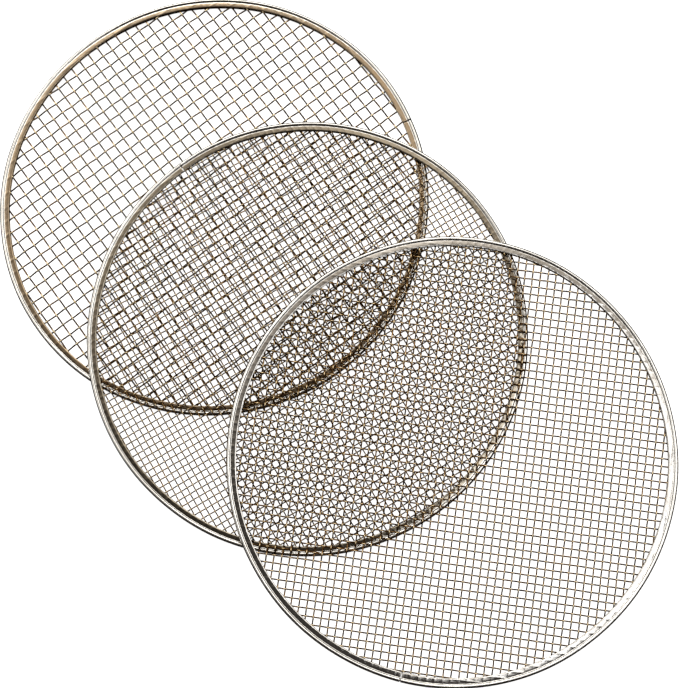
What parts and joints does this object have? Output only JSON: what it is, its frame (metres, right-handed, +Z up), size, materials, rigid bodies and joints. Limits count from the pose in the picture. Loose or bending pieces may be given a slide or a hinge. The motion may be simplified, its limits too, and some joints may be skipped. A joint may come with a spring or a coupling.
{
  "type": "soil sieve",
  "caption": "Round woven-wire soil sieve screens of coarse, fine and medium mesh with folded steel rims, fanned out so that each one leans on the screen below.",
  "frame": {"origin": "centre of the bottom of the whole fan's bounding box, on the surface that the coarse screen lies on", "axes": "+Z up, square to the coarse screen; the fan runs from the coarse screen at -X +Y to the medium screen at +X -Y, and is a little longer along Y than along X"},
  "size_m": [0.4486, 0.462, 0.0142],
  "materials": {
    "rim_steel": "bright rolled stainless strip, lightly scratched, with a warm cast",
    "hoop_steel": "drawn wire, satin",
    "wire_steel": "crimped drawn wire, bright crests and warm brown hollows"
  },
  "bodies": {
    "coarse_screen": {"coarse_rim": "rim_steel", "coarse_hoop": "hoop_steel", "coarse_warp_wires": "wire_steel", "coarse_weft_wires": "wire_steel"},
    "fine_screen": {"fine_rim": "rim_steel", "fine_hoop": "hoop_steel", "fine_warp_wires": "wire_steel", "fine_weft_wires": "wire_steel"},
    "medium_screen": {"medium_rim": "rim_steel", "medium_hoop": "hoop_steel", "medium_warp_wires": "wire_steel", "medium_weft_wires": "wire_steel"}
  },
  "joints": [
    {"name": "fine_lift", "type": "slide", "parent": "coarse_screen", "child": "fine_screen", "axis": [0, 0, 1], "range_m": [0, 0.12]},
    {"name": "medium_lift", "type": "slide", "parent": "fine_screen", "child": "medium_screen", "axis": [0, 0, 1], "range_m": [0, 0.12]}
  ]
}
